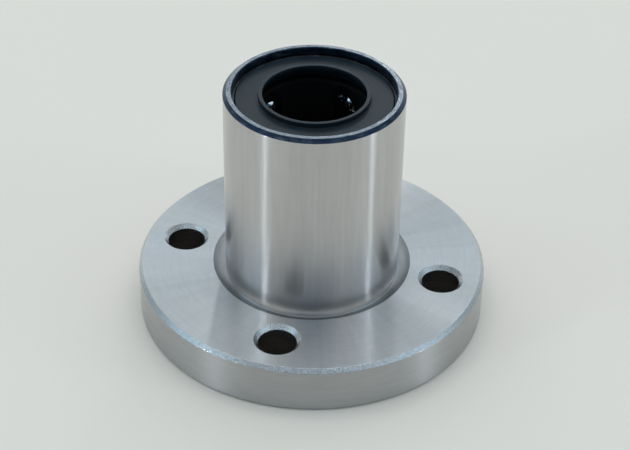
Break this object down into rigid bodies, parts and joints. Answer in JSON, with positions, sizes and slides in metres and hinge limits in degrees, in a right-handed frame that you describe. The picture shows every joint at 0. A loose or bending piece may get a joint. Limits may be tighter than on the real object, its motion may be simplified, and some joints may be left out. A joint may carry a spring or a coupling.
{
  "type": "linear ball bushing",
  "caption": "Recirculating linear ball bushing: ground steel sleeve with an integral round bolt flange, caged ball circuits and a wiper seal at each end.",
  "frame": {"origin": "centre of the flange's outer face, on the shaft axis", "axes": "+Z along the shaft axis towards the plain end of the sleeve; +X through one of the four bolt holes"},
  "size_m": [0.042, 0.042, 0.03],
  "materials": {
    "bearing_steel": "hardened bearing steel, ground on the sleeve and fine turned on the flange",
    "ball_steel": "lapped and polished hardened steel balls",
    "spring_steel": "oiled spring steel flat wire",
    "pressed_steel": "pressed sheet steel",
    "cage_resin": "black moulded resin, satin",
    "seal_rubber": "moulded nitrile rubber, satin black"
  },
  "bodies": {
    "housing": {"flanged_sleeve": "bearing_steel", "ball_cage": "cage_resin", "upper_seal": "seal_rubber", "lower_seal": "seal_rubber", "upper_backing_ring": "pressed_steel", "lower_backing_ring": "pressed_steel", "upper_retaining_ring": "spring_steel", "lower_retaining_ring": "spring_steel"},
    "circuit_1_loaded_row": {"circuit_1_load_ball_1": "ball_steel", "circuit_1_load_ball_2": "ball_steel", "circuit_1_load_ball_3": "ball_steel", "circuit_1_load_ball_4": "ball_steel", "circuit_1_load_ball_5": "ball_steel", "circuit_1_load_ball_6": "ball_steel", "circuit_1_load_ball_7": "ball_steel"},
    "circuit_1_return_row": {"circuit_1_return_balls": "ball_steel"},
    "circuit_1_upper_turn": {"circuit_1_upper_turn_ball_1": "ball_steel", "circuit_1_upper_turn_ball_2": "ball_steel"},
    "circuit_1_lower_turn": {"circuit_1_lower_turn_ball_1": "ball_steel", "circuit_1_lower_turn_ball_2": "ball_steel"},
    "circuit_2_loaded_row": {"circuit_2_load_ball_1": "ball_steel", "circuit_2_load_ball_2": "ball_steel", "circuit_2_load_ball_3": "ball_steel", "circuit_2_load_ball_4": "ball_steel", "circuit_2_load_ball_5": "ball_steel", "circuit_2_load_ball_6": "ball_steel", "circuit_2_load_ball_7": "ball_steel"},
    "circuit_2_return_row": {"circuit_2_return_balls": "ball_steel"},
    "circuit_2_upper_turn": {"circuit_2_upper_turn_ball_1": "ball_steel", "circuit_2_upper_turn_ball_2": "ball_steel"},
    "circuit_2_lower_turn": {"circuit_2_lower_turn_ball_1": "ball_steel", "circuit_2_lower_turn_ball_2": "ball_steel"},
    "circuit_3_loaded_row": {"circuit_3_load_ball_1": "ball_steel", "circuit_3_load_ball_2": "ball_steel", "circuit_3_load_ball_3": "ball_steel", "circuit_3_load_ball_4": "ball_steel", "circuit_3_load_ball_5": "ball_steel", "circuit_3_load_ball_6": "ball_steel", "circuit_3_load_ball_7": "ball_steel"},
    "circuit_3_return_row": {"circuit_3_return_balls": "ball_steel"},
    "circuit_3_upper_turn": {"circuit_3_upper_turn_ball_1": "ball_steel", "circuit_3_upper_turn_ball_2": "ball_steel"},
    "circuit_3_lower_turn": {"circuit_3_lower_turn_ball_1": "ball_steel", "circuit_3_lower_turn_ball_2": "ball_steel"},
    "circuit_4_loaded_row": {"circuit_4_load_ball_1": "ball_steel", "circuit_4_load_ball_2": "ball_steel", "circuit_4_load_ball_3": "ball_steel", "circuit_4_load_ball_4": "ball_steel", "circuit_4_load_ball_5": "ball_steel", "circuit_4_load_ball_6": "ball_steel", "circuit_4_load_ball_7": "ball_steel"},
    "circuit_4_return_row": {"circuit_4_return_balls": "ball_steel"},
    "circuit_4_upper_turn": {"circuit_4_upper_turn_ball_1": "ball_steel", "circuit_4_upper_turn_ball_2": "ball_steel"},
    "circuit_4_lower_turn": {"circuit_4_lower_turn_ball_1": "ball_steel", "circuit_4_lower_turn_ball_2": "ball_steel"}
  },
  "joints": [
    {"name": "circuit_1_loaded_row_slide", "type": "slide", "parent": "housing", "child": "circuit_1_loaded_row", "axis": [0, 0, 1], "range_m": [-0.0012, 0.0012]},
    {"name": "circuit_1_return_row_slide", "type": "slide", "parent": "housing", "child": "circuit_1_return_row", "axis": [0, 0, 1], "range_m": [-0.0012, 0.0012]},
    {"name": "circuit_1_upper_turn_hinge", "type": "hinge", "parent": "housing", "child": "circuit_1_upper_turn", "pos_m": [0.00208, 0.0071, 0.02368], "axis": [0.5, 0.866, 0], "range_deg": [-39.3, 39.3]},
    {"name": "circuit_1_lower_turn_hinge", "type": "hinge", "parent": "housing", "child": "circuit_1_lower_turn", "pos_m": [0.00208, 0.0071, 0.00632], "axis": [0.5, 0.866, 0], "range_deg": [-39.3, 39.3]},
    {"name": "circuit_2_loaded_row_slide", "type": "slide", "parent": "housing", "child": "circuit_2_loaded_row", "axis": [0, 0, 1], "range_m": [-0.0012, 0.0012]},
    {"name": "circuit_2_return_row_slide", "type": "slide", "parent": "housing", "child": "circuit_2_return_row", "axis": [0, 0, 1], "range_m": [-0.0012, 0.0012]},
    {"name": "circuit_2_upper_turn_hinge", "type": "hinge", "parent": "housing", "child": "circuit_2_upper_turn", "pos_m": [-0.0071, 0.00208, 0.02368], "axis": [-0.866, 0.5, 0], "range_deg": [-39.3, 39.3]},
    {"name": "circuit_2_lower_turn_hinge", "type": "hinge", "parent": "housing", "child": "circuit_2_lower_turn", "pos_m": [-0.0071, 0.00208, 0.00632], "axis": [-0.866, 0.5, 0], "range_deg": [-39.3, 39.3]},
    {"name": "circuit_3_loaded_row_slide", "type": "slide", "parent": "housing", "child": "circuit_3_loaded_row", "axis": [0, 0, 1], "range_m": [-0.0012, 0.0012]},
    {"name": "circuit_3_return_row_slide", "type": "slide", "parent": "housing", "child": "circuit_3_return_row", "axis": [0, 0, 1], "range_m": [-0.0012, 0.0012]},
    {"name": "circuit_3_upper_turn_hinge", "type": "hinge", "parent": "housing", "child": "circuit_3_upper_turn", "pos_m": [-0.00208, -0.0071, 0.02368], "axis": [-0.5, -0.866, 0], "range_deg": [-39.3, 39.3]},
    {"name": "circuit_3_lower_turn_hinge", "type": "hinge", "parent": "housing", "child": "circuit_3_lower_turn", "pos_m": [-0.00208, -0.0071, 0.00632], "axis": [-0.5, -0.866, 0], "range_deg": [-39.3, 39.3]},
    {"name": "circuit_4_loaded_row_slide", "type": "slide", "parent": "housing", "child": "circuit_4_loaded_row", "axis": [0, 0, 1], "range_m": [-0.0012, 0.0012]},
    {"name": "circuit_4_return_row_slide", "type": "slide", "parent": "housing", "child": "circuit_4_return_row", "axis": [0, 0, 1], "range_m": [-0.0012, 0.0012]},
    {"name": "circuit_4_upper_turn_hinge", "type": "hinge", "parent": "housing", "child": "circuit_4_upper_turn", "pos_m": [0.0071, -0.00208, 0.02368], "axis": [0.866, -0.5, 0], "range_deg": [-39.3, 39.3]},
    {"name": "circuit_4_lower_turn_hinge", "type": "hinge", "parent": "housing", "child": "circuit_4_lower_turn", "pos_m": [0.0071, -0.00208, 0.00632], "axis": [0.866, -0.5, 0], "range_deg": [-39.3, 39.3]}
  ],
  "couplings": [
    {"joint": "circuit_1_return_row_slide", "follows": "circuit_1_loaded_row_slide", "ratio": -1},
    {"joint": "circuit_1_upper_turn_hinge", "follows": "circuit_1_loaded_row_slide", "rad_per_m": -571.43},
    {"joint": "circuit_1_lower_turn_hinge", "follows": "circuit_1_loaded_row_slide", "rad_per_m": -571.43},
    {"joint": "circuit_2_return_row_slide", "follows": "circuit_2_loaded_row_slide", "ratio": -1},
    {"joint": "circuit_2_upper_turn_hinge", "follows": "circuit_2_loaded_row_slide", "rad_per_m": -571.43},
    {"joint": "circuit_2_lower_turn_hinge", "follows": "circuit_2_loaded_row_slide", "rad_per_m": -571.43},
    {"joint": "circuit_3_return_row_slide", "follows": "circuit_3_loaded_row_slide", "ratio": -1},
    {"joint": "circuit_3_upper_turn_hinge", "follows": "circuit_3_loaded_row_slide", "rad_per_m": -571.43},
    {"joint": "circuit_3_lower_turn_hinge", "follows": "circuit_3_loaded_row_slide", "rad_per_m": -571.43},
    {"joint": "circuit_4_return_row_slide", "follows": "circuit_4_loaded_row_slide", "ratio": -1},
    {"joint": "circuit_4_upper_turn_hinge", "follows": "circuit_4_loaded_row_slide", "rad_per_m": -571.43},
    {"joint": "circuit_4_lower_turn_hinge", "follows": "circuit_4_loaded_row_slide", "rad_per_m": -571.43}
  ]
}
